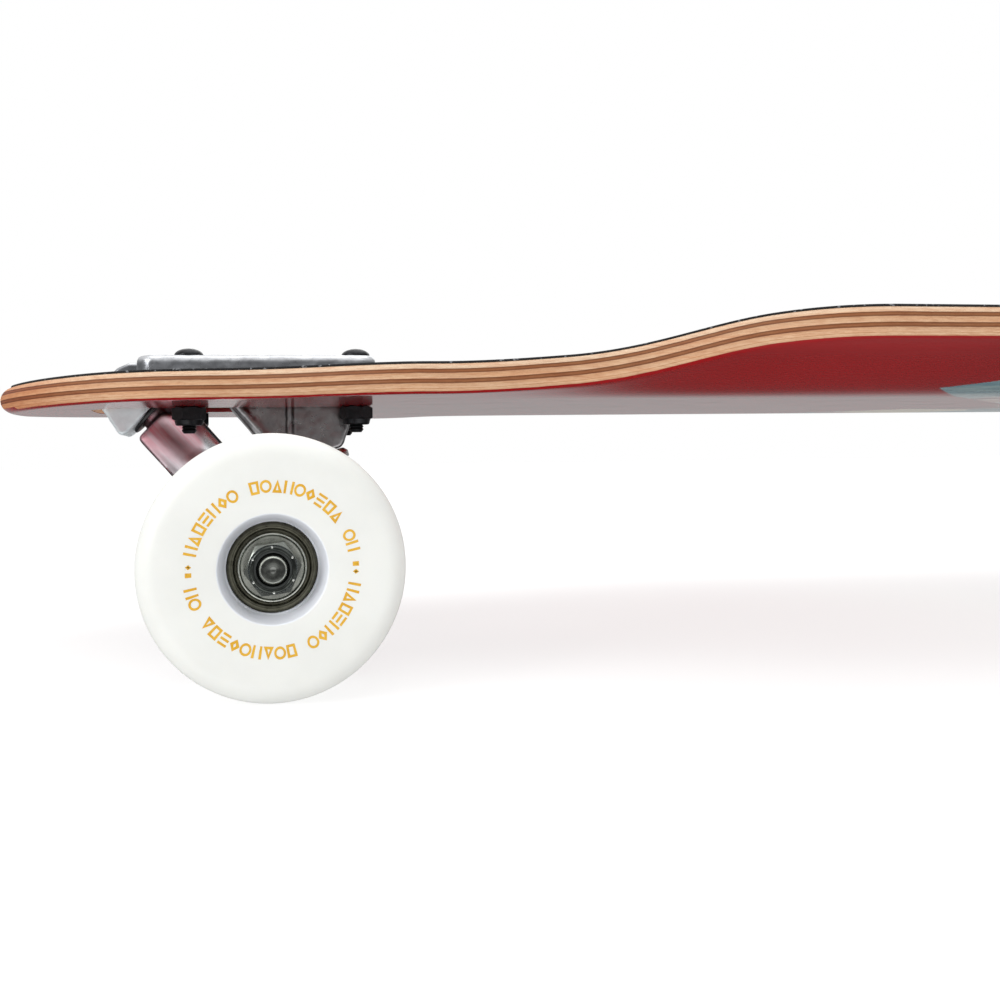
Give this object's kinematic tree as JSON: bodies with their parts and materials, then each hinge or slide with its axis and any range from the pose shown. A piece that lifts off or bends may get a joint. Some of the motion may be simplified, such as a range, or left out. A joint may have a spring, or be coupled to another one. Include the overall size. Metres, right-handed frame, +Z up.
{
  "type": "longboard skateboard",
  "caption": "Drop-through longboard skateboard: pressed maple deck with grip tape, cut-in ends, kingpin trucks mounted through the deck and urethane wheels on ball bearings.",
  "frame": {"origin": "on the ground under the middle of the board, the wheels standing at z = 0", "axes": "+X along the board from nose to tail, +Y across to the right-hand side of a rider facing the nose, +Z up"},
  "size_m": [0.94, 0.2476, 0.0977],
  "materials": {
    "maple_plywood": "clear-lacquered pressed maple plywood, red painted underside",
    "grip_tape": "coarse silicon carbide grit on black film",
    "cast_aluminium": "tumbled sand casting",
    "polished_aluminium": "polished casting",
    "plated_steel": "zinc-plated steel",
    "black_steel": "black oxide steel",
    "urethane_white": "cast white urethane, satin",
    "bushing_urethane": "black urethane",
    "bearing_steel": "ground bearing steel with dark shields"
  },
  "bodies": {
    "board": {"deck": "maple_plywood", "grip_tape": "grip_tape", "front_baseplate": "cast_aluminium", "front_pivot_cup": "bushing_urethane", "front_kingpin": "plated_steel", "front_kingpin_nut": "plated_steel", "front_bushing_board": "bushing_urethane", "front_bushing_road": "bushing_urethane", "front_cup_washer_board": "plated_steel", "front_cup_washer_road": "plated_steel", "front_mounting_bolt_1": "black_steel", "front_mounting_nut_1": "black_steel", "front_mounting_bolt_2": "black_steel", "front_mounting_nut_2": "black_steel", "front_mounting_bolt_3": "black_steel", "front_mounting_nut_3": "black_steel", "front_mounting_bolt_4": "black_steel", "front_mounting_nut_4": "black_steel", "rear_baseplate": "cast_aluminium", "rear_pivot_cup": "bushing_urethane", "rear_kingpin": "plated_steel", "rear_kingpin_nut": "plated_steel", "rear_bushing_board": "bushing_urethane", "rear_bushing_road": "bushing_urethane", "rear_cup_washer_board": "plated_steel", "rear_cup_washer_road": "plated_steel", "rear_mounting_bolt_1": "black_steel", "rear_mounting_nut_1": "black_steel", "rear_mounting_bolt_2": "black_steel", "rear_mounting_nut_2": "black_steel", "rear_mounting_bolt_3": "black_steel", "rear_mounting_nut_3": "black_steel", "rear_mounting_bolt_4": "black_steel", "rear_mounting_nut_4": "black_steel"},
    "front_hanger_body": {"front_hanger": "polished_aluminium", "front_axle": "plated_steel", "front_left_axle_nut": "black_steel", "front_left_axle_washer": "plated_steel", "front_right_axle_nut": "black_steel", "front_right_axle_washer": "plated_steel"},
    "front_left_wheel_body": {"front_left_wheel": "urethane_white", "front_left_bearing_outer": "bearing_steel", "front_left_bearing_inner": "bearing_steel"},
    "front_right_wheel_body": {"front_right_wheel": "urethane_white", "front_right_bearing_outer": "bearing_steel", "front_right_bearing_inner": "bearing_steel"},
    "rear_hanger_body": {"rear_hanger": "polished_aluminium", "rear_axle": "plated_steel", "rear_left_axle_nut": "black_steel", "rear_left_axle_washer": "plated_steel", "rear_right_axle_nut": "black_steel", "rear_right_axle_washer": "plated_steel"},
    "rear_left_wheel_body": {"rear_left_wheel": "urethane_white", "rear_left_bearing_outer": "bearing_steel", "rear_left_bearing_inner": "bearing_steel"},
    "rear_right_wheel_body": {"rear_right_wheel": "urethane_white", "rear_right_bearing_outer": "bearing_steel", "rear_right_bearing_inner": "bearing_steel"}
  },
  "joints": [
    {"name": "front_steering", "type": "hinge", "parent": "board", "child": "front_hanger_body", "pos_m": [-0.36379, 0, 0.03972], "axis": [0.8373, 0, -0.5468], "range_deg": [-11, 11], "stiffness_Nm_per_rad": 90, "deforming": ["front_bushing_board", "front_bushing_road"]},
    {"name": "front_left_wheel_spin", "type": "hinge", "parent": "front_hanger_body", "child": "front_left_wheel_body", "pos_m": [-0.3847, 0, 0.0325], "axis": [0, 1, 0], "continuous": true},
    {"name": "front_right_wheel_spin", "type": "hinge", "parent": "front_hanger_body", "child": "front_right_wheel_body", "pos_m": [-0.3847, 0, 0.0325], "axis": [0, 1, 0], "continuous": true},
    {"name": "rear_steering", "type": "hinge", "parent": "board", "child": "rear_hanger_body", "pos_m": [0.36379, 0, 0.03972], "axis": [-0.8373, 0, -0.5468], "range_deg": [-11, 11], "stiffness_Nm_per_rad": 90, "deforming": ["rear_bushing_board", "rear_bushing_road"]},
    {"name": "rear_left_wheel_spin", "type": "hinge", "parent": "rear_hanger_body", "child": "rear_left_wheel_body", "pos_m": [0.3847, 0, 0.0325], "axis": [0, 1, 0], "continuous": true},
    {"name": "rear_right_wheel_spin", "type": "hinge", "parent": "rear_hanger_body", "child": "rear_right_wheel_body", "pos_m": [0.3847, 0, 0.0325], "axis": [0, 1, 0], "continuous": true}
  ]
}
